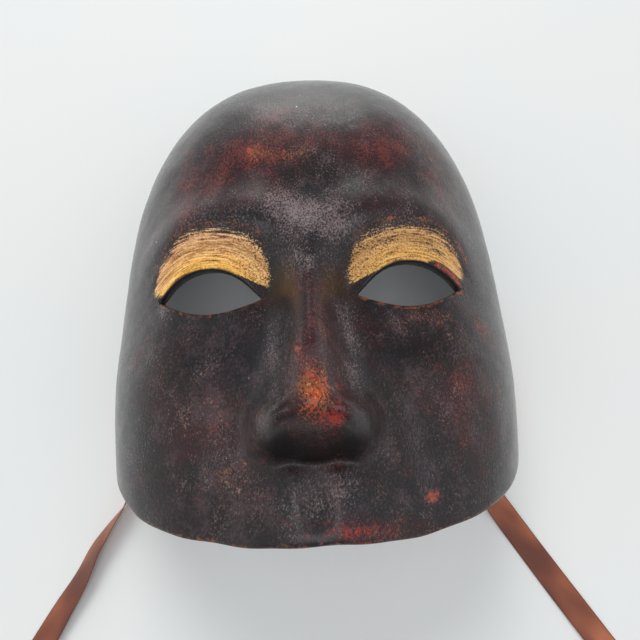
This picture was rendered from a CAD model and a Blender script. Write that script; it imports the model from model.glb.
# Venetian half mask in painted papier-mache, lying face up, with a satin ribbon tied in at each temple.
# The pieces' sizes are in millimetres, as in the part's source, and become metres when a mesh is made. The
# camera's and the studio's are in metres.
import math

import bpy
import numpy as np
from mathutils import Matrix, Vector


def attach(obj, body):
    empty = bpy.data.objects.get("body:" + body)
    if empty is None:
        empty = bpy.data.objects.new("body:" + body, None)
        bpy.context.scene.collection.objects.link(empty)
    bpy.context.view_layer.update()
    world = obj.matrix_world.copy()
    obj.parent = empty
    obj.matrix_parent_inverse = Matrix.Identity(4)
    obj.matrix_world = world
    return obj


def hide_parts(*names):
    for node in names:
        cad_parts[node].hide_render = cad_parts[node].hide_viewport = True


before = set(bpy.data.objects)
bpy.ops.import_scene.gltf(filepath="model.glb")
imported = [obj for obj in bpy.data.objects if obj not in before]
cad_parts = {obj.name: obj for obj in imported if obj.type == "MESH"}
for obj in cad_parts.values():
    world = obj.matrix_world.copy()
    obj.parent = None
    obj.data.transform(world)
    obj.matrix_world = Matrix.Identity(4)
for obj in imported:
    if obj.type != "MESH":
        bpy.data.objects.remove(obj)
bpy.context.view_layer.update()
scene = bpy.context.scene
print("frame loaded")


def paintColour(hexText):
    parts = [int(hexText[i:i + 2], 16) / 255 for i in (1, 3, 5)]
    return tuple(c / 12.92 if c <= 0.04045 else ((c + 0.055) / 1.055) ** 2.4 for c in parts) + (1,)


# Adds a node, sets its properties, and fills or links its inputs. A node given as an input stands for its
# result, which is the third output on a colour mix, and a hex text stands for its colour.
def addNode(tree, kind, inputs=None, **settings):
    node = tree.nodes.new("ShaderNode" + kind)
    for name, value in settings.items():
        setattr(node, name, value)
    for socket, value in (inputs or {}).items():
        if isinstance(value, bpy.types.Node):
            value = value.outputs[2 if getattr(value, "data_type", "") == "RGBA" else 0]
        if isinstance(value, bpy.types.NodeSocket):
            tree.links.new(value, node.inputs[socket])
        else:
            node.inputs[socket].default_value = paintColour(value) if isinstance(value, str) else value
    return node


def newMaterial(name):
    material = bpy.data.materials.new(name)
    material.use_nodes = True
    tree = material.node_tree
    tree.nodes.clear()
    return material, tree


# Mesh object from points in millimetres, its place in its mesh
def makePiece(name, points, faces, materials, faceMaterial=None):
    mesh = bpy.data.meshes.new(name)
    mesh.from_pydata((np.asarray(points) / 1000).tolist(), [], faces)
    for material in materials:
        mesh.materials.append(material)
    if faceMaterial is not None:
        mesh.polygons.foreach_set("material_index", faceMaterial)
    mesh.polygons.foreach_set("use_smooth", [True] * len(mesh.polygons))
    mesh.update()
    piece = bpy.data.objects.new(name, mesh)
    scene.collection.objects.link(piece)
    return piece


# Writes one uv pair per point into a uv map
def pointMap(piece, mapName, pairs):
    layer = piece.data.uv_layers.new(name=mapName)
    corners = np.empty(len(piece.data.loops), dtype=np.int32)
    piece.data.loops.foreach_get("vertex_index", corners)
    layer.data.foreach_set("uv", np.asarray(pairs, dtype=np.float32)[corners].ravel())


def pointValue(piece, name, values):
    attribute = piece.data.attributes.new(name, "FLOAT", "POINT")
    attribute.data.foreach_set("value", np.asarray(values, dtype=np.float32))


def unit(vectors):
    return vectors / np.linalg.norm(vectors, axis=1)[:, None]


# Sum of sine waves, each given as its height, its length over tau, and its start
def waveSum(run, waves):
    return sum(height * np.sin(run / length + start) for height, length, start in waves)


# Every pair of an along value and an across value
def pairGrid(along, across):
    return np.stack(np.broadcast_arrays(along[:, None], across[None]), axis=-1).reshape(-1, 2)


# Faces of an open strip: quads between its rings of points, and a cap on each end
def stripFaces(rings, count, start=0):
    faces = []
    for i in range(rings - 1):
        row = start + i * count
        for j in range(count):
            k = (j + 1) % count
            faces.append((row + j, row + count + j, row + count + k, row + k))
    end = start + (rings - 1) * count
    faces.append(tuple(range(start, start + count)))
    faces.append(tuple(range(end + count - 1, end - 1, -1)))
    return faces


# Camera: looks down on the lying mask, a little from the chin, with the picture turned slightly
viewPoint = {
    "place": (0.0031, -0.0882, 0.2306),
    "tilt": 19,
    "roll": 2.5,
    "lens": 29.25,
}


def placeCamera(values):
    data = bpy.data.cameras.new("photo_view")
    data.lens = values["lens"]
    data.sensor_width = 36
    data.clip_start = 0.01
    camera = bpy.data.objects.new("photo_view", data)
    tilt = Matrix.Rotation(math.radians(values["tilt"]), 4, "X")
    roll = Matrix.Rotation(math.radians(-values["roll"]), 4, "Z")
    camera.matrix_world = Matrix.Translation(values["place"]) @ tilt @ roll
    scene.collection.objects.link(camera)
    scene.camera = camera


placeCamera(viewPoint)
print("camera placed")

# Ribbons: x, y and z of the middle line, and how flat it lies: 0 on edge, 1 flat, less than 0 with the other
# edge raised
ribbonValues = {
    "width": 10,
    "thickness": 0.36,
    "selvedge": 0.14,
    "selvedgeFrom": 0.88,
    "edgeThin": 0.55,
    "cup": 0.35,
    "across": 12,
    "perSpan": 8,
    "ripples": [(0.22, 4.6, 0), (0.14, 2.9, 1)],
    "rippleLostFlat": 0.7,
    "sinkOnEdge": 0.25,
    "sinkFlat": 0.3,
    "waveHeight": 0.2,
    "waveLength": 9,
    "endSlant": (-0.8, 1.6),
    "lowest": 0.04,
    "loopRadius": 50,
    "loopTighter": 0.14,
    "loopTurns": 0.7,
    "loopSteps": 12,
    "loopHeight": 5.4,
    "loopEndLean": 0.3,
}
leftRoute = [
    (-70.6, -31, 11, 0), (-76, -31, 11, 0), (-79.9, -31.2, 11, 0), (-81.6, -33.4, 10.9, 0),
    (-82, -38, 10.3, 0), (-82.1, -45, 9.2, 0), (-82, -53, 8, 0), (-81.6, -61, 7, 0),
    (-80.6, -69, 6.1, 0), (-79, -76.5, 5.5, 0), (-78.3, -82.5, 5.4, -0.1), (-80.4, -88, 5.3, -0.2),
    (-83.6, -92.3, 5, -0.28), (-87.4, -97.4, 4.7, -0.38), (-91, -103, 4.3, -0.46),
    (-94.8, -111.8, 3.7, -0.56), (-102, -124, 2.7, -0.72), (-108.6, -135.6, 1.8, -0.85),
    (-115.4, -147.6, 1.8, -0.85), (-121, -157.8, 4, -0.5),
]
rightRoute = [
    (70.6, -31, 11, 0), (76, -31, 11, 0), (79.9, -31.2, 11, 0), (81.6, -33.4, 10.8, 0),
    (82, -38, 10, 0), (81.9, -45, 8.6, 0), (81.6, -53, 7.2, 0), (80.8, -60.5, 6.2, 0),
    (79.6, -67.5, 5.6, 0.03), (77.4, -74.5, 5.4, 0.08), (74.2, -80.8, 5.3, 0.15),
    (71.8, -86.2, 4.2, 0.45), (72.4, -91.6, 1.6, 0.85), (75.6, -97.4, 0.9, 1), (81, -106, 0.9, 1),
    (88.5, -118, 0.9, 1), (96.5, -130.6, 0.9, 1), (104.8, -143.4, 1.2, 0.92), (112, -154.5, 3.2, 0.6),
]


# The spare length goes on in one open loop standing on edge, as in the part's source
def withLoop(route, sign, values):
    radius = values["loopRadius"]
    steps = values["loopSteps"]
    x, y = route[-1][:2]
    heading = math.atan2(y - route[-2][1], x - route[-2][0])
    inward = heading - sign * math.pi / 2
    centreX = x + radius * math.cos(inward)
    centreY = y + radius * math.sin(inward)
    points = list(route)
    for i in range(1, steps + 1):
        angle = inward + math.pi - sign * math.tau * values["loopTurns"] * i / steps
        reach = radius * (1 - values["loopTighter"] * i / steps)
        lean = values["loopEndLean"] if i == steps else 0
        x, y = centreX + reach * math.cos(angle), centreY + reach * math.sin(angle)
        points.append((x, y, values["loopHeight"], lean))
    return points


# Centripetal curve through the route, with the flatness carried along
def smoothLine(route, perSpan):
    knots = np.array(route, dtype=float)
    knots = np.vstack([2 * knots[0] - knots[1], knots, 2 * knots[-1] - knots[-2]])
    line = []
    for i in range(1, len(knots) - 2):
        a, b, c, d = knots[i - 1:i + 3]
        before = np.linalg.norm((b - a)[:3]) ** 0.5
        here = np.linalg.norm((c - b)[:3]) ** 0.5
        after = np.linalg.norm((d - c)[:3]) ** 0.5
        slopeIn = ((b - a) / before - (c - a) / (before + here) + (c - b) / here) * here
        slopeOut = ((c - b) / here - (d - b) / (here + after) + (d - c) / after) * here
        last = i == len(knots) - 3
        for t in np.linspace(0, 1, perSpan + 1)[:perSpan + (1 if last else 0)]:
            line.append(
                b * (2 * t ** 3 - 3 * t ** 2 + 1)
                + slopeIn * (t ** 3 - 2 * t ** 2 + t)
                + c * (3 * t ** 2 - 2 * t ** 3)
                + slopeOut * (t ** 3 - t ** 2)
            )
    return np.array(line)


# Direction along a line, and the directions across the ribbon's width and through it
def ribbonAxes(line):
    forward = unit(np.gradient(line[:, :3], axis=0))
    level = unit(np.cross(forward, (0, 0, 1)))
    upright = np.cross(level, forward)
    lean = (1 - np.clip(line[:, 3], -1, 1))[:, None] * math.pi / 2
    wide = level * np.cos(lean) + upright * np.sin(lean)
    return forward, wide, np.cross(forward, wide)


# Rings of points along a line, each point given by its offsets across the width and through it
def sweep(centre, wide, thin, ringU, ringT):
    return centre[:, None] + wide[:, None] * ringU[..., None] + thin[:, None] * ringT[..., None]


# Woven strip: rings of points across the line, thicker at the two selvedges, with a slanting cut end
def ribbonPiece(name, route, materials, values):
    line = smoothLine(route, values["perSpan"])
    forward, wide, thin = ribbonAxes(line)
    flat = np.minimum(np.abs(line[:, 3]), 1)
    centre = line[:, :3].copy()
    run = np.concatenate([[0], np.cumsum(np.linalg.norm(np.diff(centre, axis=0), axis=1))])
    ripple = waveSum(run, values["ripples"])
    wave = values["waveHeight"] * flat * (1 + np.sin(run / values["waveLength"]))
    centre[:, 2] += wave - values["sinkOnEdge"] - values["sinkFlat"] * flat
    across = np.linspace(-1, 1, values["across"] + 1)
    thick = values["thickness"] / 2 + values["selvedge"] / 2 * (np.abs(across) > values["selvedgeFrom"])
    thick[[0, -1]] *= values["edgeThin"]
    cup = values["cup"] * (1 - across ** 2)
    ringU = np.concatenate([across, across[::-1]])
    ringT = np.concatenate([cup + thick, (cup - thick)[::-1]])
    slant = np.zeros((len(line), 1))
    slant[[0, -1], 0] = values["endSlant"]
    ripple = (ripple * (1 - flat * values["rippleLostFlat"]))[:, None] * ringU ** 2
    points = sweep(centre, wide, thin, (ringU * values["width"] / 2)[None], ringT[None] + ripple)
    points = points + forward[:, None] * (slant * ringU)[..., None]
    points[..., 2] = np.maximum(points[..., 2], values["lowest"])
    piece = makePiece(name, points.reshape(-1, 3), stripFaces(len(line), len(ringU)), materials)
    pointMap(piece, "weave", pairGrid(run / values["width"], ringU / 2 + 0.5))
    return piece, (centre / 1000).tolist(), run[-1] / 1000


# Knot inside the temple: one closed overhand turn of gathered ribbon and its short cut tail
knotValues = {
    "centre": (69.6, -31, 11),
    "turn": (1.955, 1.1, 1.55),
    "bandHalf": 1.45,
    "bandThin": 0.72,
    "steps": 90,
    "sides": 10,
    "tail": [
        (69.6, -31, 9.5), (67.6, -31.8, 7.6), (64.8, -33.2, 6.3), (61.6, -35.4, 5.5), (58.6, -38.2, 5.2),
    ],
    "tailHalf": [1.6, 2.9, 4.1, 4.7, 4.8],
    "tailLean": 0.6,
    "tailPerSpan": 5,
    "tailAcross": 7,
    "tailLength": 1.4,
    "foldDepth": 0.5,
    "foldLeft": 0.2,
    "folds": 7,
    "foldThin": 0.2,
    "gather": 0.16,
}


def knotPiece(name, sign, materials, values):
    centre = np.array(values["centre"]) * (sign, 1, 1)
    steps, sides, thinHalf = values["steps"], values["sides"], values["foldThin"]
    t = np.linspace(0, math.tau, steps, endpoint=False)
    depth, breadth, height = values["turn"]
    path = np.stack([
        -depth * np.sin(3 * t),
        breadth * (np.sin(t) + 2 * np.sin(2 * t)),
        height * (np.cos(t) - 2 * np.cos(2 * t)),
    ], axis=-1)
    forward = unit(np.roll(path, -1, axis=0) - np.roll(path, 1, axis=0))
    thin = unit(np.cross(forward, (1, 0, 0)))
    wide = np.cross(thin, forward)
    around = np.linspace(0, math.tau, sides, endpoint=False)
    bunch = 1 + values["gather"] * np.sin(4 * around)
    ringU = (np.cos(around) * bunch * values["bandHalf"])[None]
    ringT = (np.sin(around) * bunch * values["bandThin"])[None]
    points = sweep(centre + path, wide, thin, ringU, ringT)
    faces = []
    for i in range(steps):
        for j in range(sides):
            k = (j + 1) % sides
            n = (i + 1) % steps
            faces.append((i * sides + j, i * sides + k, n * sides + k, n * sides + j))
    # the tail's folds flatten towards its cut end
    route = [(sign * x, y, z, values["tailLean"]) for x, y, z in values["tail"]]
    spine = smoothLine(route, values["tailPerSpan"])
    tailWide, tailThin = ribbonAxes(spine)[1:]
    along = np.linspace(0, 1, len(spine))
    half = np.interp(along, np.linspace(0, 1, len(values["tailHalf"])), values["tailHalf"])
    across = np.linspace(-1, 1, values["tailAcross"])
    folds = values["foldDepth"] * np.cos(across * values["folds"])
    loosen = np.linspace(1, values["foldLeft"], len(spine))
    ringU = np.concatenate([across, across[::-1]])
    ringT = np.concatenate([folds, folds[::-1]])[None] * loosen[:, None]
    ringT = ringT + np.repeat([thinHalf, -thinHalf], len(across))[None]
    tail = sweep(spine[:, :3], tailWide, tailThin, ringU[None] * half[:, None], ringT)
    faces += stripFaces(len(spine), len(ringU), steps * sides)
    piece = makePiece(name, np.vstack([points.reshape(-1, 3), tail.reshape(-1, 3)]), faces, materials)
    tailPairs = pairGrid(along * values["tailLength"], ringU / 2 + 0.5)
    pointMap(piece, "weave", np.vstack([pairGrid(t / 2, around / math.tau), tailPairs]))
    return piece


# Polyester satin ribbon: woven with long warp floats, so it is smooth, with broad lights and fine cross ribs
satinValues = {
    "name": "woven_polyester_satin",
    "body": "#90523a",
    "lit": "#b06a4a",
    "shade": "#683a2d",
    "ribs": 22,
    "warps": 46,
    "roughness": 0.4,
}


def satinMaterial(values):
    material, tree = newMaterial(values["name"])
    uv = addNode(tree, "UVMap", uv_map="weave")
    split = addNode(tree, "SeparateXYZ", {0: uv})
    # light and dark zones run slantwise over the width, where the ribbon turns a little
    slanted = addNode(tree, "Mapping", {"Vector": uv, "Rotation": (0, 0, 0.7), "Scale": (0.34, 0.6, 1)})
    zones = addNode(tree, "TexNoise", {"Vector": slanted, "Scale": 1, "Detail": 1.5})
    floats = addNode(tree, "Mapping", {"Vector": uv, "Scale": (3, 44, 1)})
    threads = addNode(tree, "TexNoise", {"Vector": floats, "Scale": 1, "Detail": 3})
    # one rib is about 0.45 mm, wider than the real pick, so that it shows
    rib = addNode(tree, "Math", {0: split.outputs["X"], 1: values["ribs"] * math.tau}, operation="MULTIPLY")
    ribWave = addNode(tree, "Math", {0: rib}, operation="SINE")
    width = split.outputs["Y"]
    warp = addNode(tree, "Math", {0: width, 1: values["warps"] * math.tau}, operation="MULTIPLY")
    warpWave = addNode(tree, "Math", {0: warp}, operation="SINE")
    weave = addNode(tree, "Math", {0: ribWave, 1: warpWave}, operation="MULTIPLY")
    dull = addNode(tree, "MapRange", {0: zones, 1: 0.36, 2: 0.56}, interpolation_type="SMOOTHSTEP")
    base = addNode(tree, "Mix", {0: dull, 6: values["shade"], 7: values["body"]}, data_type="RGBA")
    gleam = addNode(tree, "MapRange", {0: zones, 1: 0.48, 2: 0.62}, interpolation_type="SMOOTHSTEP")
    bright = addNode(tree, "Mix", {0: gleam, 6: base, 7: values["lit"]}, data_type="RGBA")
    thready = addNode(tree, "MapRange", {0: threads, 1: 0.35, 2: 0.65, 3: 0.14, 4: 0})
    threaded = addNode(tree, "Mix", {0: thready, 6: bright, 7: values["shade"]}, data_type="RGBA")
    # the selvedge is a darker, tighter line along both edges
    fromMiddle = addNode(tree, "Math", {0: width, 1: 0.5}, operation="SUBTRACT")
    outward = addNode(tree, "Math", {0: fromMiddle}, operation="ABSOLUTE")
    selvedge = addNode(tree, "MapRange", {0: outward, 1: 0.45, 2: 0.48, 4: 0.5})
    colour = addNode(tree, "Mix", {0: selvedge, 6: threaded, 7: values["shade"]}, data_type="RGBA")
    cross = addNode(tree, "Bump", {"Height": weave, "Strength": 0.5, "Distance": 0.00005})
    surface = addNode(tree, "BsdfPrincipled", {
        "Base Color": colour,
        "Normal": cross,
        "Roughness": values["roughness"],
        "Sheen Weight": 0.12,
        "Sheen Roughness": 0.4,
        "Sheen Tint": "#d9a580",
        "Specular IOR Level": 0.35,
    })
    addNode(tree, "OutputMaterial", {0: surface})
    return material


satin = satinMaterial(satinValues)
for side, sign, route in (("left", -1, leftRoute), ("right", 1, rightRoute)):
    strip, path, length = ribbonPiece(
        "satin_ribbon_" + side, withLoop(route, sign, ribbonValues), [satin], ribbonValues
    )
    knot = knotPiece("ribbon_knot_" + side, sign, [satin], knotValues)
    for piece in (strip, knot):
        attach(piece, "root")
        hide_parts("ribbon_" + side)
    print("ribbon", side, "built, length %.3f m" % length)

# Shell of the mask, with the same named sizes as the part's source
shellValues = {
    "halfWidth": 79,
    "crownReach": 130,
    "chinReach": 138,
    "frontDepth": 78,
    "poleY": -29,
    "rimPower": 2.45,
    "domePower": 2.7,
    "wall": 2.8,
    "headHeight": 250,
    "eyeX": 33.5,
    "eyeHalf": 17.5,
    "eyeUp": 9.5,
    "eyeDown": 6.5,
    "eyePower": 2.1,
    "lipHalf": 84,
    "lipPower": 2.8,
    "lipWaves": [(0.22, 6.1, 0.6), (0.14, 2.7, 0)],
    "reliefRise": 35,
    "slotY": -31,
    "slotZ": 11,
    "slotTall": 12,
    "slotWide": 2.4,
    "slotCorner": 0.6,
    "slotBeyond": 60,
    "eyesOver": 30,
    "rings": 150,
    "sides": 300,
    "slotColumns": (-5.2, 2.4, 0.6),
    "columnGap": 0.004,
    "snapShare": 0.32,
    "edgeRound": 0.9,
    "edgeRows": 5,
    "edgeFull": 0.6,
    "unevenness": 0.07,
    "insideRougher": 1.6,
    "insideShift": 40,
    "settle": 0.1,
}
poleY = shellValues["poleY"]
eyeX = shellValues["eyeX"]
eyeY = poleY + shellValues["crownReach"] - shellValues["headHeight"] / 2
noseBaseY = eyeY - 52
mouthY = eyeY - 77


def smoothstep(value, low, high):
    t = np.clip((value - low) / (high - low), 0, 1)
    return t * t * (3 - 2 * t)


# A soft round or oval swelling, 1 at its centre
def swelling(x, y, centreX, centreY, halfX, halfY, power=2.0, turn=0.0):
    dx = x - centreX
    dy = y - centreY
    along = np.abs(dx * math.cos(turn) + dy * math.sin(turn)) / halfX
    across = np.abs(dy * math.cos(turn) - dx * math.sin(turn)) / halfY
    return np.exp(-(along ** power + across ** power))


# Forms of the face: height, place across and over the eyes' line, half width, half length, and a power and a
# turn if they aren't 2 and 0. A form off the middle is on both sides. The broad forms are inside too.
broadForms = {
    "betweenBrows": (3, 0, 19, 13, 14),
    "eyeSocket": (-10, 31, 0, 22, 14.5),
    "innerCorner": (-4, 15.5, 4, 7, 9),
    "eyeBall": (8, eyeX, -0.5, 18.5, 12, 2.6),
    "cheekBone": (4, 48, -27, 21, 15, 2, 0.25),
    "temple": (-2.5, 66, 16, 12, 22),
    "forehead": (1.8, 27, 62, 26, 24),
    "cheekFold": (-3, 27, -62, 9, 17, 2, 0.35),
    "upperJaw": (4, 0, -67, 27, 14),
}
fineForms = {
    "noseSide": (3, 9, -38, 9, 12),
    "nostril": (-3.6, 6.8, -50.8, 3.3, 3.4),
    "upperLip": (2.6, 0, -76, 23, 6),
    "philtrum": (-1.6, 0, -62, 3.4, 9, 2.6),
    "philtrumRidge": (0.9, 6.2, -63, 2.6, 9),
}
noseWing = (10.5, 12.6, -45.4, 6.2, 7, 2.8)
browValues = {
    "height": 5,
    "archOver": 25,
    "archAt": 26,
    "archBend": 0.006,
    "upperHalf": 13,
    "lowerHalf": 8,
    "starts": (2, 20),
    "ends": (40, 66),
}
noseValues = {
    "rootOver": 9,
    "tipOver": 9,
    "height": 7,
    "heightGain": 18,
    "half": 6.6,
    "halfGain": 3,
    "underSlope": 2.5,
    "underOver": (-2.5, 1),
    "blend": 15,
    "fadeOver": 28,
    "steepness": 0.69,
    "power": 2.1,
    "insideHeight": 0.72,
    "insideHalf": 0.8,
}


def noseHeight(side, y, hollow, values):
    rootY = eyeY + values["rootOver"]
    tipY = noseBaseY + values["tipOver"]
    down = np.clip((rootY - y) / (rootY - tipY), 0, 1.4)
    bridge = (values["height"] + values["heightGain"] * down) * (values["insideHeight"] if hollow else 1)
    under = values["underSlope"] * (y - (noseBaseY + values["underOver"][hollow]))
    blend = values["blend"]
    share = np.clip(0.5 + 0.5 * (under - bridge) / blend, 0, 1)
    line = np.maximum(under * (1 - share) + bridge * share - blend * share * (1 - share), 0)
    half = values["half"] + values["halfGain"] * np.minimum(down, 1) ** 1.5
    half *= values["insideHalf"] if hollow else 1
    fade = 1 - smoothstep(y, eyeY, eyeY + values["fadeOver"])
    return line * fade * np.exp(-values["steepness"] * (side / half) ** values["power"])


# Relief of the face over the plain dome, the same as the part's
def faceRelief(x, y, hollow):
    side = np.hypot(x, 1)

    def formHeight(height, across, over, *shape):
        return height * swelling(side if across else x, y, across, eyeY + over, *shape)

    arch = eyeY + browValues["archOver"] - browValues["archBend"] * (side - browValues["archAt"]) ** 2
    browEnds = smoothstep(side, *browValues["starts"]) * (1 - smoothstep(side, *browValues["ends"]))
    browHalf = np.where(y > arch, browValues["upperHalf"], browValues["lowerHalf"])
    z = browValues["height"] * np.exp(-(((y - arch) / browHalf) ** 2)) * browEnds
    z += sum(formHeight(*form) for form in broadForms.values())
    z += noseHeight(side, y, hollow, noseValues)
    if hollow:
        return z
    z += sum(formHeight(*form) for form in fineForms.values())
    return z + formHeight(*noseWing) * smoothstep(y, noseBaseY - 3.5, noseBaseY + 3)


# The fold of the upper lid and the soft roll over it, which are too fine for the solid
foldValues = {
    "over": 16,
    "half": 22,
    "drop": 9.5,
    "curve": 2.2,
    "ends": (0.75, 1.1),
    "depth": 0.8,
    "depthHalf": 1.7,
    "roll": 0.3,
    "rollOver": 2.6,
    "rollHalf": 2.4,
}


def lidFold(x, y, values):
    lid = np.abs(np.abs(x) - eyeX) / values["half"]
    over = y - (eyeY + values["over"] - values["drop"] * lid ** values["curve"])
    roll = values["roll"] * np.exp(-(((over - values["rollOver"]) / values["rollHalf"]) ** 2))
    fold = values["depth"] * np.exp(-((over / values["depthHalf"]) ** 2))
    return (1 - smoothstep(lid, *values["ends"])) * (roll - fold)


# Slight hollows and swells of layered paper
def paperUnevenness(x, y, values):
    random = np.random.default_rng(11)
    height = np.zeros_like(x)
    for size in (26, 22, 18, 15, 12, 10, 8.5, 7, 6, 5):
        for _ in range(3):
            heading = random.uniform(0, math.tau)
            phase = random.uniform(0, math.tau)
            run = x * math.cos(heading) + y * math.sin(heading)
            height += np.sin(run * math.tau / size + phase) * size / 26
    return height * values["unevenness"] / 2


def shellPoints(tilt, azimuth, hollow, values, fine=True):
    inset = values["wall"] if hollow else 0
    reachY = np.where(np.sin(azimuth) > 0, values["crownReach"], values["chinReach"]) - inset
    across = np.abs(np.cos(azimuth)) / (values["halfWidth"] - inset)
    lengthways = np.abs(np.sin(azimuth)) / reachY
    reach = (across ** values["rimPower"] + lengthways ** values["rimPower"]) ** (-1 / values["rimPower"])
    outward = np.sin(tilt) / reach
    upward = np.maximum(np.cos(tilt), 0) / (values["frontDepth"] - inset)
    radius = (outward ** values["domePower"] + upward ** values["domePower"]) ** (-1 / values["domePower"])
    x = radius * np.sin(tilt) * np.cos(azimuth)
    y = poleY + radius * np.sin(tilt) * np.sin(azimuth)
    z = radius * np.maximum(np.cos(tilt), 0)
    rise = smoothstep(z, 0, values["reliefRise"])
    lift = faceRelief(x, y, hollow)
    if fine and hollow:
        rough = paperUnevenness(x + values["insideShift"], y, values)
        lift = lift + rough * values["insideRougher"] - values["settle"]
    elif fine:
        lift = lift + paperUnevenness(x, y, values) - values["settle"] + lidFold(x, y, foldValues)
    return np.stack([x, y, z + lift * rise], axis=-1)


# Distance to the edge of the nearest eye opening, and the height over the line of its corners
def eyeDistance(x, y, values):
    u = (np.abs(x) - eyeX) / values["eyeHalf"]
    above = y - (eyeY + u)
    tall = np.where(above > 0, values["eyeUp"], values["eyeDown"])
    steep = tall * values["eyePower"] * np.abs(u) ** (values["eyePower"] - 1) / values["eyeHalf"]
    return (np.abs(above) - tall * (1 - np.abs(u) ** values["eyePower"])) / np.sqrt(1 + steep ** 2), above


def lipDistance(x, y, values):
    t = np.clip(np.abs(x) / values["lipHalf"], 0, 0.97)
    power = values["lipPower"]
    reach = poleY - mouthY
    curve = poleY - reach * (1 - t ** power) ** (1 / power)
    steep = reach * (1 - t ** power) ** (1 / power - 1) * t ** (power - 1) / values["lipHalf"]
    return (y - curve - waveSum(x, values["lipWaves"])) / np.sqrt(1 + steep ** 2)


# Distance from a point of the outside to the nearest cut edge, less than 0 where the paper is cut away
def paperLeft(points, values):
    x, y, z = points[..., 0], points[..., 1], points[..., 2]
    farAway = 99
    corner = values["slotCorner"]
    slotY = np.maximum(np.abs(y - values["slotY"]) - values["slotWide"] / 2 + corner, 0)
    slotZ = np.maximum(np.abs(z - values["slotZ"]) - values["slotTall"] / 2 + corner, 0)
    slot = np.where(np.abs(x) > values["slotBeyond"], np.hypot(slotY, slotZ) - corner, farAway)
    eye = np.where(z > values["eyesOver"], eyeDistance(x, y, values)[0], farAway)
    return np.minimum.reduce([eye, lipDistance(x, y, values), slot, z])


# A grid over the dome, closed at the pole, is cut along the edges. Points near a cut move onto it.
def cutSheet(values):
    tilts = math.pi / 2 * (1 - np.arange(values["rings"]) / values["rings"])
    even = np.linspace(0, math.tau, values["sides"], endpoint=False)
    # columns are closer together at the two slots, and none nearly coincide
    finer = np.radians(np.arange(*values["slotColumns"]))
    azimuths = np.unique(np.round(np.concatenate([even, finer % math.tau, math.pi - finer]), 5))
    azimuths = azimuths[np.diff(np.append(azimuths, azimuths[0] + math.tau)) > values["columnGap"]]
    rings, sides = len(tilts), len(azimuths)
    grid = pairGrid(tilts, azimuths)

    def left(place):
        points = shellPoints(place[:, 0], place[:, 1], False, values, fine=False)
        return paperLeft(points, values) - values["edgeRound"]

    state = np.where(left(grid) > 0, 1, -1)
    number = np.arange(rings * sides).reshape(rings, sides)
    beside = np.roll(number, -1, axis=1)
    pairs = np.vstack([
        np.stack([number.ravel(), beside.ravel()], axis=-1),
        np.stack([number[:-1].ravel(), number[1:].ravel()], axis=-1),
    ])
    pairs = pairs[state[pairs[:, 0]] != state[pairs[:, 1]]]
    first = grid[pairs[:, 0]]
    second = grid[pairs[:, 1]]
    second[:, 1] += np.where(second[:, 1] - first[:, 1] < -math.pi, math.tau, 0)
    kept = (state[pairs[:, 0]] > 0)[:, None]
    inner, outer = np.where(kept, first, second), np.where(kept, second, first)
    low, high = np.zeros(len(pairs)), np.ones(len(pairs))
    for _ in range(20):
        middle = (low + high) / 2
        inside = left(inner + (outer - inner) * middle[:, None]) > 0
        low, high = np.where(inside, middle, low), np.where(inside, high, middle)
    cross = inner + (outer - inner) * low[:, None]
    fromFirst = np.where(kept[:, 0], low, 1 - low)
    best = {}
    for k, (a, b) in enumerate(pairs):
        for point, share in ((a, fromFirst[k]), (b, 1 - fromFirst[k])):
            if share < best.get(point, (values["snapShare"], 0))[0]:
                best[point] = (share, k)
    for point, (_, k) in best.items():
        grid[point] = cross[k]
        state[point] = 0
    places = [grid]
    crossing = {}
    for k, (a, b) in enumerate(pairs):
        if state[a] * state[b] < 0:
            crossing[(a, b)] = crossing[(b, a)] = len(grid) + len(crossing) // 2
            places.append(cross[k:k + 1])
    places = np.vstack(places)
    pole = len(places)
    places = np.vstack([places, [(0, 0)]])
    corners = np.stack([number[:-1], beside[:-1], beside[1:], number[1:]], axis=-1).reshape(-1, 4)
    cornerState = state[corners]
    whole = (cornerState >= 0).all(axis=1) & (cornerState > 0).any(axis=1)
    faces = corners[whole].tolist()
    for cell in corners[~whole & (cornerState >= 0).any(axis=1)]:
        loop = []
        for k in range(4):
            a, b = cell[k], cell[(k + 1) % 4]
            if state[a] >= 0:
                loop.append(a)
            if (a, b) in crossing:
                loop.append(crossing[(a, b)])
        if len(loop) < 3:
            continue
        if not (state[cell] > 0).any():
            spot = places[loop]
            spot[:, 1] = spot[0, 1] + (spot[:, 1] - spot[0, 1] + math.pi) % math.tau - math.pi
            if left(spot.mean(axis=0)[None])[0] < 0:
                continue
        faces.append([int(p) for p in loop])
    faces += [[int(a), int(b), pole] for a, b in zip(number[-1], beside[-1])]
    return places, faces


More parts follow.
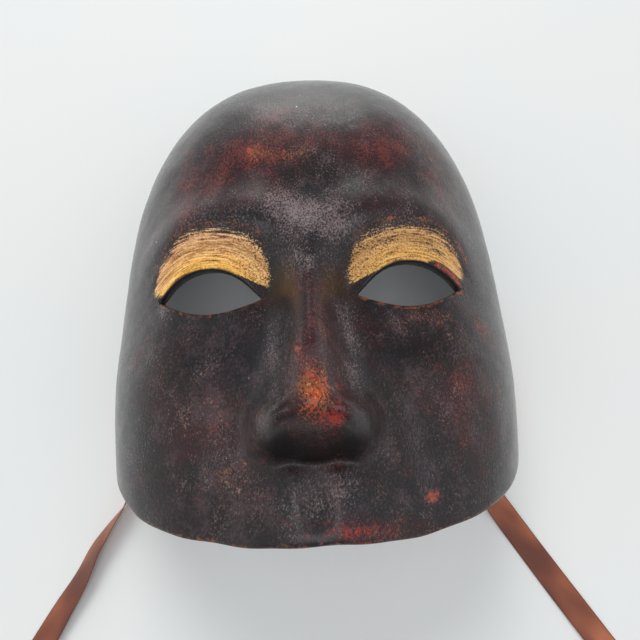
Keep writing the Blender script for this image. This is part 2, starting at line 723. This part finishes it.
# Where the paint differs: x, y, half width, half height in millimetres, and strength
paintSpots = {
    "red": [
        (-18, 31, 20, 15, 0.95), (-30, 20, 16, 13, 0.7), (-15, 12, 13, 8, 0.5), (-10, 48, 16, 13, 0.6),
        (-41, 7, 10, 9, 0.6), (-40, 28, 14, 15, 0.8), (54, 2, 9, 17, 0.5), (30, 33, 20, 17, 0.85),
        (45, 20, 13, 17, 0.75), (33, 4, 15, 10, 0.4), (0, 36, 17, 13, 0.75), (1, -38, 6, 17, 0.65),
        (1, -60, 8, 17, 1), (-33, -62, 18, 16, 0.35), (-24, -84, 13, 12, 0.5), (46, -60, 13, 13, 0.65),
        (50, -74, 9, 10, 0.45), (26, -80, 8, 10, 0.3), (14, -97, 17, 4, 0.9), (2, -76, 11, 6, 0.6),
        (56, -36, 6, 7, 0.6), (-54, -44, 8, 12, 0.5), (38, -36, 14, 5, 0.35),
    ],
    "orange": [
        (-18, 30, 8, 6, 0.9), (-4, 28, 6, 5, 0.7), (-16, 13, 7, 4, 0.5), (-12, 40, 10, 6, 0.5),
        (-40, 7, 5, 4, 0.5), (1, -62, 6, 10, 1.1), (4, -44, 4, 7, 0.6), (-33, -64, 12, 10, 0.25),
        (-24, -80, 9, 8, 0.5), (-19, -92, 7, 6, 0.4), (33, -88, 5, 4, 0.7), (56, -36, 4, 4, 0.6),
        (14, -98, 12, 2.2, 0.4), (46, -56, 8, 8, 0.25), (40, 26, 9, 9, 0.35), (-32, 22, 9, 6, 0.4),
        (38, -35, 14, 4, 0.5), (-24, -33, 9, 3, 0.35),
    ],
    "grey": [
        (0, 2, 19, 11, 1), (0, -16, 8, 9, 0.45), (-11, -50, 4, 16, 0.6), (12, -50, 4, 16, 0.6),
        (1, -88, 10, 8, 0.5), (-30, 2, 18, 7, 0.35), (28, -4, 14, 7, 0.4), (-46, -18, 8, 14, 0.4),
    ],
    "mauve": [
        (-34, -60, 20, 16, 0.75), (-24, -82, 14, 12, 0.8), (-40, -40, 10, 10, 0.6),
        (46, -60, 14, 13, 0.7), (24, -74, 9, 7, 0.7), (24, -88, 12, 5, 0.7), (0, -86, 9, 9, 0.8),
        (-34, 8, 20, 8, 0.6), (2, -50, 8, 16, 0.5), (36, -38, 14, 6, 0.8), (-36, -38, 12, 5, 0.6),
        (-14, -66, 4, 7, 1), (15, -66, 4, 6, 0.9),
    ],
    "soot": [
        (0, -75, 16, 4.2, 1), (-9, -74, 7, 4, 1), (9, -74, 7, 4, 1), (0, -78, 5, 2, 0.6),
    ],
    "coral": [
        (33, -89, 3.2, 3, 1), (-19.5, 30.5, 2.6, 2.4, 1), (-8, 29, 2.4, 2.2, 0.85),
        (-3, -50, 2.2, 2.2, 0.9), (0, -58, 2.2, 2, 0.9), (8, -60, 2, 2.4, 0.9), (-16, 14, 2.4, 2, 0.6),
        (-42, 20, 3, 2, 0.7), (60, -56, 2, 6, 0.6), (-8, -62, 3, 1.6, 0.6),
    ],
    "scarlet": [
        (5, -69.5, 4.6, 2.6, 1), (8, -64, 2.4, 2.4, 0.6), (0, -66, 2.4, 2, 0.4), (10, -97, 9, 2.2, 0.6),
    ],
}


# Gold bands over the upper lids, left and right
goldBands = {
    "thick": (13.5, 12.5),
    "outerTaper": (0.45, 0.3),
    "outerReach": (1.2, 1.3),
    "outerEnd": (0.78, 0.7),
    "outerGap": (0, 2.6),
    "wornThin": (0, 0.42),
    "light": (1, 0.42),
    "innerTaper": 0.1,
    "innerReach": 1.25,
    "innerEnd": 0.9,
    "innerGap": 3.4,
    "wornPlaces": [(1, 0.6, 0.5, 0.3, 0.2), (0.8, -0.45, 0.6, 0.4, 0.14)],
}


# How thick each paint lies at every point
def paintValues(outside, values):
    x, y = outside[:, 0], outside[:, 1]
    left = x < 0

    def bySide(name):
        return np.where(left, *goldBands[name])

    marks = {}
    for name, spots in paintSpots.items():
        marks[name] = np.maximum.reduce([share * swelling(x, y, *place) for *place, share in spots])
    # gold follows the upper lid's line, carried on past both corners of the eye
    along = (np.abs(x) - eyeX) / values["eyeHalf"]
    power = values["eyePower"]
    lid = eyeY + along + values["eyeUp"] * (1 - np.abs(along) ** power)
    steep = values["eyeUp"] * power * np.abs(along) ** (power - 1) / values["eyeHalf"]
    fromLid = (y - lid) / np.sqrt(1 + steep ** 2)
    inner = np.clip((-along + 0.1) / goldBands["innerReach"], 0, 1.5)
    outer = np.clip((along - 0.1) / bySide("outerReach"), 0, 1.5)
    thick = bySide("thick") * (1 - goldBands["innerTaper"] * inner ** 3)
    thick *= 1 - bySide("outerTaper") * outer ** 2
    # the band leaves the lid towards the nose, and on the right also over a red stroke at the outer part
    bare = goldBands["innerGap"] * smoothstep(inner, 0.4, 1)
    bare += bySide("outerGap") * smoothstep(along, 0.2, 0.7)
    band = smoothstep(fromLid, bare - 0.4, bare + 0.6) * (1 - smoothstep(fromLid, thick - 5.5, thick + 2.6))
    # both ends are rounded
    rounding = 0.14 * ((fromLid - 0.6 * thick) / (0.5 * thick)) ** 2
    innerEnd, outerEnd = goldBands["innerEnd"], bySide("outerEnd")
    band *= 1 - smoothstep(inner + rounding, innerEnd, innerEnd + 0.24)
    band *= 1 - smoothstep(outer + rounding, outerEnd, outerEnd + 0.2)
    # on the right the gold is worn thin in two places
    height = fromLid / thick
    thin = sum(share * swelling(along, height, *place) for share, *place in goldBands["wornPlaces"])
    band *= 1 - bySide("wornThin") * thin
    # orange shows along the upper edge of each band
    rim = np.exp(-(((fromLid - thick - 0.6) / 1.3) ** 2)) * (np.maximum(inner, outer) < 0.95)
    front = outside[:, 2] > values["eyesOver"]
    marks["gold"] = np.where(front, band, 0)
    marks["goldUp"] = np.clip(height, 0, 1)
    stroke = smoothstep(along, 0.25, 0.6) * (1 - smoothstep(along, 0.98, 1.12))
    stroke *= (1 - smoothstep(fromLid, 2, 3.4)) * (front & ~left & (fromLid > -1.5))
    marks["scarlet"] = np.maximum(marks["scarlet"], 0.7 * stroke)
    marks["orange"] = np.maximum(marks["orange"], np.maximum(0.9 * stroke, 0.75 * rim))
    marks["goldLight"] = bySide("light") * (1 - 0.45 * smoothstep(inner, 0.3, 1))
    rightStipple = 0.25 + 0.55 * smoothstep(inner, 0.2, 0.8)
    marks["goldStipple"] = np.where(left, smoothstep(inner, 0.35, 0.95), rightStipple)
    distance, above = eyeDistance(x, y, values)
    lowerLid = (1 - smoothstep(distance, 1, 2.4)) * smoothstep(-above, -1.5, 1.5)
    lip = 1 - smoothstep(lipDistance(x, y, values), 1, 2.6)
    marks["rubbed"] = np.maximum(lowerLid, lip) * front
    strokes = np.stack([along * values["eyeHalf"] / 20 + np.where(left, 0, 7.3), fromLid / 20], axis=-1)
    return marks, strokes


def shellPiece(name, materials, values):
    places, faces = cutSheet(values)
    used = sorted({p for face in faces for p in face})
    renumber = {p: k for k, p in enumerate(used)}
    places = places[used]
    faces = [tuple(renumber[p] for p in face) for face in faces]
    outside = shellPoints(places[:, 0], places[:, 1], False, values)
    inside = shellPoints(places[:, 0], places[:, 1], True, values)
    edges = set()
    for face in faces:
        edges.update(zip(face, face[1:] + face[:1]))
    border = [(a, b) for a, b in edges if (b, a) not in edges]
    following = dict(border)
    rimPoints = np.array(sorted(following))
    spot = {point: k for k, point in enumerate(rimPoints)}
    ahead = np.array([spot[following[p]] for p in rimPoints])
    behind = np.argsort(ahead)
    delta = 1e-3
    tilt, azimuth = places[rimPoints].T

    def nearby(tiltStep, turnStep):
        return shellPoints(tilt + tiltStep, azimuth + turnStep, False, values)

    roundTurn = nearby(0, delta) - nearby(0, -delta)
    inwardTurn = nearby(-delta, 0) - nearby(0, 0)
    normal = unit(np.cross(roundTurn, inwardTurn))
    rim = outside[rimPoints]
    bulge = unit(np.cross(rim[ahead] - rim[behind], normal))
    for _ in range(2):
        bulge = unit(bulge * 0.5 + (bulge[ahead] + bulge[behind]) * 0.25)
    rowCount = values["edgeRows"]
    rows = []
    for k in range(1, rowCount + 1):
        angle = math.pi * k / (rowCount + 1)
        share = (1 - math.cos(angle)) / 2
        row = rim * (1 - share) + inside[rimPoints] * share
        row = row + bulge * values["edgeRound"] * math.sin(angle) ** values["edgeFull"]
        row[:, 2] = np.maximum(row[:, 2], 0)
        rows.append(row)
    count, ring = len(places), len(rimPoints)
    points = np.vstack([outside, inside] + rows)
    inner = [tuple(count + p for p in reversed(face)) for face in faces]

    def rowPoint(k, point):
        if k == 0:
            return point
        if k > rowCount:
            return count + point
        return 2 * count + (k - 1) * ring + spot[point]

    strips = []
    for a, b in border:
        for k in range(rowCount + 1):
            strips.append((rowPoint(k, b), rowPoint(k, a), rowPoint(k + 1, a), rowPoint(k + 1, b)))
    faceMaterial = [0] * len(faces) + [1] * len(inner) + [0] * len(strips)
    piece = makePiece(name, points, faces + inner + strips, materials, faceMaterial)
    marks, strokes = paintValues(outside, values)
    for key, mark in marks.items():
        pointValue(piece, key, np.concatenate([mark, mark] + [mark[rimPoints]] * rowCount))
    pointValue(piece, "cutEdge", np.concatenate([np.zeros(2 * count), np.ones(rowCount * ring)]))
    pointMap(piece, "strokes", np.vstack([strokes, strokes] + [strokes[rimPoints]] * rowCount))
    return piece


# Acrylic on papier-mache under a satin varnish: a dark ground with dry-brushed and stippled reds over it.
# Patch and grit are sizes and fine is the grit's share. A coat shows where its noise, pushed up by a paint
# value, goes from low to high.
coatColumns = ("colour", "patch", "grit", "fine", "value", "push", "low", "high", "strength", "stretch")
paintCoats = {
    "charcoal": ("#16161a", 20, 0.7, 0.25, "grey", 0.12, 0.43, 0.55, 0.95, 1),
    "fine mottle": ("#382a2c", 5, 0.48, 0.6, "red", 0.04, 0.49, 0.62, 0.7, 1.5),
    "maroon wash": ("#2e0f13", 13, 0.5, 0.4, "red", 0.17, 0.53, 0.65, 0.85, 1),
    "mauve wash": ("#4d3d42", 4.5, 0.6, 0.35, "mauve", 0.09, 0.52, 0.66, 0.48, 1.2),
    "red stipple": ("#642c26", 6, 0.46, 0.6, "red", 0.17, 0.6, 0.71, 0.9, 1.5),
    "grey scumble": ("#8a7a7c", 8, 0.4, 0.6, "grey", 0.2, 0.56, 0.76, 0.75, 1.5),
    "pale grit": ("#8c7a79", 6, 0.4, 0.6, "mauve", 0.06, 0.58, 0.7, 0.34, 1.4),
    "brown stipple": ("#83502f", 5, 0.46, 0.6, "orange", 0.18, 0.63, 0.73, 0.85, 1.4),
    "beige flecks": ("#9c7a66", 3, 0.42, 0.5, "mauve", 0.1, 0.64, 0.76, 0.65, 1.3),
    "orange flecks": ("#bd5026", 4, 0.4, 0.55, "orange", 0.2, 0.7, 0.79, 0.9, 1.3),
    "coral dabs": ("#a84d36", 2.4, 0.5, 0.45, "coral", 0.34, 0.7, 0.86, 0.8, 1.2),
    "scarlet strokes": ("#a4240e", 5, 0.5, 0.55, "scarlet", 0.3, 0.66, 0.8, 0.9, 1.3),
    "soot": ("#080506", 6, 0.5, 0.4, "soot", 0.4, 0.66, 0.86, 0.92, 1),
    "yellow flecks": ("#d98f3c", 2.5, 0.4, 0.6, "orange", 0.15, 0.72, 0.8, 0.9, 1.2),
}
shellPaint = {
    "name": "acrylic_on_papier_mache",
    "ground": "#150c0d",
    "edgeBlack": "#0b0909",
    "rubbedBrown": "#7d4426",
    "haze": "#c6bcba",
    "dust": "#d8d8d6",
    "dustApart": 13,
    "dustSize": 0.24,
    "goldPale": "#ffe8a8",
    "goldLow": "#ffbf4e",
    "goldHigh": "#f2b27e",
    "goldDeep": "#6a3d18",
    "goldDull": "#d29f58",
    "goldBrown": "#54402a",
    "roughness": (0.4, 0.5),
    "grainDepth": 0.0001,
    "stippleDepth": 0.0001,
    "waveDepth": 0.00004,
}


def paintMaterial(values, coats):
    material, tree = newMaterial(values["name"])
    here = addNode(tree, "TexCoord").outputs["Object"]
    names = list(paintSpots) + ["gold", "goldUp", "goldLight", "goldStipple", "rubbed", "cutEdge"]
    marks = {name: addNode(tree, "Attribute", attribute_name=name).outputs["Fac"] for name in names}

    # how far a paint covers: its noise, pushed up by a paint value, between low and high
    def coverOf(name, push, noise, low, high, strength=1.0):
        pushed = addNode(tree, "Math", {0: marks[name], 1: push, 2: noise}, operation="MULTIPLY_ADD")
        inputs = {0: pushed, 1: low, 2: high, 4: strength}
        return addNode(tree, "MapRange", inputs, interpolation_type="SMOOTHSTEP")

    colour = values["ground"]
    for number, row in enumerate(coats.values()):
        coat = dict(zip(coatColumns, row))
        turned = addNode(tree, "Mapping", {
            "Vector": here,
            "Location": (0.37 * number, 0.21 * number, 0.13 * number),
            "Rotation": (0, 0, math.radians(8 - 5 * number)),
            "Scale": (coat["stretch"], 1, 1),
        })
        patches = addNode(tree, "TexNoise", {
            "Vector": turned, "Scale": 500 / coat["patch"], "Detail": 4, "Roughness": 0.6,
        })
        grit = addNode(tree, "TexNoise", {
            "Vector": turned, "Scale": 500 / coat["grit"], "Detail": 2, "Roughness": 0.7,
        })
        blend = addNode(tree, "Mix", {0: coat["fine"], 2: patches, 3: grit})
        cover = coverOf(coat["value"], coat["push"], blend, coat["low"], coat["high"], coat["strength"])
        colour = addNode(tree, "Mix", {0: cover, 6: colour, 7: coat["colour"]}, data_type="RGBA")

    # gold: dry-brushed along each lid, so streaks follow the stroke map, and stippled at the inner ends
    strokes = addNode(tree, "UVMap", uv_map="strokes")
    bristle = addNode(tree, "Mapping", {"Vector": strokes, "Scale": (2.2, 34, 1)})
    streaks = addNode(tree, "TexNoise", {
        "Vector": bristle, "Scale": 1, "Detail": 5, "Roughness": 0.8, "Distortion": 0.3,
    })
    speckle = addNode(tree, "TexNoise", {"Vector": here, "Scale": 1700, "Detail": 2, "Roughness": 0.7})
    stippled = addNode(tree, "MapRange", {0: marks["goldStipple"], 3: 0.25, 4: 0.7})
    dryness = addNode(tree, "Mix", {0: stippled, 2: streaks, 3: speckle})
    goldCover = coverOf("gold", 0.42, dryness, 0.68, 0.84)
    paler = addNode(tree, "MapRange", {0: dryness, 1: 0.39, 2: 0.54})
    gleam = addNode(tree, "MapRange", {0: dryness, 1: 0.51, 2: 0.64})
    # yellow gold near the lid turns rosier towards the brow
    rosier = addNode(tree, "MapRange", {0: marks["goldUp"], 1: 0.15, 2: 0.75})
    gold = addNode(tree, "Mix", {0: rosier, 6: values["goldLow"], 7: values["goldHigh"]}, data_type="RGBA")
    gold = addNode(tree, "Mix", {0: paler, 6: values["goldDeep"], 7: gold}, data_type="RGBA")
    gold = addNode(tree, "Mix", {0: gleam, 6: gold, 7: values["goldPale"]}, data_type="RGBA")
    dull = addNode(tree, "Mix", {0: paler, 6: values["goldBrown"], 7: values["goldDull"]}, data_type="RGBA")
    gold = addNode(tree, "Mix", {0: marks["goldLight"], 6: dull, 7: gold}, data_type="RGBA")

    # cut edges: black on the upper lids, rubbed back to brown on the lower lids and the lip
    worn = addNode(tree, "TexNoise", {"Vector": here, "Scale": 420, "Detail": 4, "Roughness": 0.7})
    wornCover = coverOf("rubbed", 0.3, worn, 0.76, 0.9, 0.8)

    # a few white specks of dust caught in the varnish
    specks = addNode(tree, "TexVoronoi", {"Vector": here, "Scale": 1000 / values["dustApart"]})
    speckSize = values["dustSize"] / values["dustApart"]
    inSpeck = addNode(tree, "MapRange", {0: specks.outputs["Distance"], 1: speckSize * 1.5, 2: speckSize})
    chosen = addNode(tree, "SeparateColor", {0: specks.outputs["Color"]})
    few = addNode(tree, "Math", {0: chosen.outputs["Red"], 1: 0.55}, operation="GREATER_THAN")
    dusty = addNode(tree, "Math", {0: inSpeck, 1: few}, operation="MULTIPLY")
    for cover, tone in (
        (goldCover, gold),
        (marks["cutEdge"], values["edgeBlack"]),
        (wornCover, values["rubbedBrown"]),
        (dusty, values["dust"]),
    ):
        colour = addNode(tree, "Mix", {0: cover, 6: colour, 7: tone}, data_type="RGBA")

    # fine brush grain runs down the face; the paper under it is hardly uneven
    grainPlace = addNode(tree, "Mapping", {
        "Vector": here, "Rotation": (0, 0, math.radians(-7)), "Scale": (1100, 380, 500),
    })
    grain = addNode(tree, "TexNoise", {
        "Vector": grainPlace, "Scale": 1, "Detail": 2, "Roughness": 0.6, "Distortion": 0.6,
    })
    waves = addNode(tree, "TexNoise", {"Vector": here, "Scale": 120, "Detail": 3})
    bump = None
    for height, depth in ((waves, "waveDepth"), (grain, "grainDepth"), (speckle, "stippleDepth")):
        under = {"Normal": bump} if bump else {}
        bump = addNode(tree, "Bump", {"Height": height, "Distance": values[depth], **under})
    gloss = addNode(tree, "MapRange", {
        0: waves, 1: 0.35, 2: 0.65, 3: values["roughness"][0], 4: values["roughness"][1],
    })
    metal = addNode(tree, "Math", {0: goldCover, 1: 0.12}, operation="MULTIPLY")
    surface = addNode(tree, "BsdfPrincipled", {
        "Base Color": colour,
        "Metallic": metal,
        "Roughness": gloss,
        "Normal": bump,
        "Specular IOR Level": 0.18,
        "Coat Weight": 1,
        "Coat IOR": 1.33,
        "Coat Roughness": 0.26,
        "Coat Normal": bump,
        "Sheen Weight": 0.02,
        "Sheen Roughness": 0.35,
        "Sheen Tint": values["haze"],
    })
    addNode(tree, "OutputMaterial", {0: surface})
    return material


# Bare papier-mache on the hollow side: torn strips of pale grey paper, dull, darker where paste soaked in
bareValues = {
    "name": "bare_papier_mache",
    "paper": "#dcdcde",
    "paste": "#b6b5b8",
    "stripLength": 34,
    "stripWidth": 15,
    "roughness": 0.86,
}


def bareMaterial(values):
    material, tree = newMaterial(values["name"])
    here = addNode(tree, "TexCoord").outputs["Object"]
    wander = addNode(tree, "TexNoise", {"Vector": here, "Scale": 70, "Detail": 3})
    shifted = addNode(tree, "VectorMath", {
        0: wander.outputs["Color"], 1: (0.012, 0.012, 0.012), 2: here,
    }, operation="MULTIPLY_ADD")
    lay = addNode(tree, "Mapping", {
        "Vector": shifted, "Rotation": (0, 0, 0.6),
        "Scale": (1000 / values["stripLength"], 1000 / values["stripWidth"], 1000 / values["stripLength"]),
    })
    strips = addNode(tree, "TexVoronoi", {"Vector": lay, "Scale": 1})
    seams = addNode(tree, "TexVoronoi", {"Vector": lay, "Scale": 1}, feature="DISTANCE_TO_EDGE")
    tone = addNode(tree, "SeparateColor", {0: strips.outputs["Color"]})
    fibres = addNode(tree, "TexNoise", {"Vector": here, "Scale": 700, "Detail": 4, "Roughness": 0.7})
    mottled = addNode(tree, "Mix", {0: 0.45, 2: tone.outputs["Red"], 3: fibres})
    soaked = addNode(tree, "MapRange", {0: mottled, 1: 0.25, 2: 0.8})
    body = addNode(tree, "Mix", {0: soaked, 6: values["paste"], 7: values["paper"]}, data_type="RGBA")
    seam = addNode(tree, "MapRange", {0: seams.outputs["Distance"], 1: 0, 2: 0.07, 3: 0.5, 4: 0})
    colour = addNode(tree, "Mix", {0: seam, 6: body, 7: values["paste"]}, data_type="RGBA")
    step = addNode(tree, "Bump", {"Height": tone.outputs["Green"], "Distance": 0.0003})
    grain = addNode(tree, "Bump", {"Height": fibres, "Distance": 0.00012, "Normal": step})
    surface = addNode(tree, "BsdfPrincipled", {
        "Base Color": colour,
        "Normal": grain,
        "Roughness": values["roughness"],
        "Specular IOR Level": 0.3,
    })
    addNode(tree, "OutputMaterial", {0: surface})
    return material


shellMaterials = [paintMaterial(shellPaint, paintCoats), bareMaterial(bareValues)]
shell = shellPiece("painted_shell", shellMaterials, shellValues)
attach(shell, "root")
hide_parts("mask_shell")
print("shell built,", len(shell.data.polygons), "faces")

# Pale table under a cool sky that dims behind the crown and behind the viewer. A dim side has its direction
# and the range over which it dims. A wide low window stands behind the crown. A soft light above it shades
# the table without a reflection in the varnish, and a small light over the viewer shines through the eyes.
studio = {
    "floor": "#e2e7e8",
    "floorWarm": "#e8e9e6",
    "bright": (0.985, 1, 1.01, 1),
    "dim": (0.3, 0.31, 0.33, 1),
    "dimSides": [((0, 0.87, 0.5), 0.5, 0.92), ((0, -0.98, 0.17), 0.7, 0.95)],
    "skyStrength": 0.785,
    "tableHalf": 1.6,
    "tableTop": -0.0001,
    "aim": (0, 0, 0.04),
    # place, width, height, power, colour, and whether the varnish reflects it
    "lamps": {
        "window_light": ((0, 1.8, 0.3), 0.8, 0.3, 3.8, (1, 0.98, 0.95), True),
        "soft_light": ((-0.25, 1.25, 1.5), 1, 1, 19, (1, 0.985, 0.96), False),
        "ceiling_light": ((0.01, -0.42, 1.05), 0.35, 0.35, 1.5, (1.02, 0.96, 1.02), True),
    },
}


def setStudio(values):
    mesh = bpy.data.meshes.new("table_top")
    half, top = values["tableHalf"], values["tableTop"]
    corners = [(-half, -half, top), (half, -half, top), (half, half, top), (-half, half, top)]
    mesh.from_pydata(corners, [], [(0, 1, 2, 3)])
    table = bpy.data.objects.new("table_top", mesh)
    scene.collection.objects.link(table)
    # matt laminate: plain white, hardly cloudy, with no clear reflection
    material, tree = newMaterial("matt_white_laminate")
    here = addNode(tree, "TexCoord").outputs["Object"]
    cloud = addNode(tree, "TexNoise", {"Vector": here, "Scale": 6, "Detail": 3})
    tint = addNode(tree, "Mix", {0: cloud, 6: values["floor"], 7: values["floorWarm"]}, data_type="RGBA")
    surface = addNode(tree, "BsdfPrincipled", {"Base Color": tint, "Roughness": 0.6})
    addNode(tree, "OutputMaterial", {0: surface})
    mesh.materials.append(material)
    world = bpy.data.worlds.new("studio_sky")
    world.use_nodes = True
    tree = world.node_tree
    tree.nodes.clear()
    direction = addNode(tree, "TexCoord").outputs["Generated"]
    dimness = []
    for side, starts, full in values["dimSides"]:
        facing = addNode(tree, "VectorMath", {0: direction, 1: side}, operation="DOT_PRODUCT")
        dimness.append(addNode(tree, "MapRange", {0: facing.outputs["Value"], 1: starts, 2: full}))
    dimmer = addNode(tree, "Math", {0: dimness[0], 1: dimness[1]}, operation="MAXIMUM")
    colour = addNode(tree, "Mix", {0: dimmer, 6: values["bright"], 7: values["dim"]}, data_type="RGBA")
    sky = addNode(tree, "Background", {"Color": colour, "Strength": values["skyStrength"]})
    addNode(tree, "OutputWorld", {0: sky})
    scene.world = world
    scene.view_settings.view_transform = "Standard"
    for name, (spot, width, height, power, tone, gloss) in values["lamps"].items():
        data = bpy.data.lights.new(name, "AREA")
        data.shape = "RECTANGLE"
        data.size, data.size_y = width, height
        data.energy = power
        data.color = tone
        light = bpy.data.objects.new(name, data)
        light.visible_glossy = gloss
        turn = (Vector(values["aim"]) - Vector(spot)).to_track_quat("-Z", "Y").to_matrix().to_4x4()
        light.matrix_world = Matrix.Translation(spot) @ turn
        scene.collection.objects.link(light)


setStudio(studio)
print("studio set")
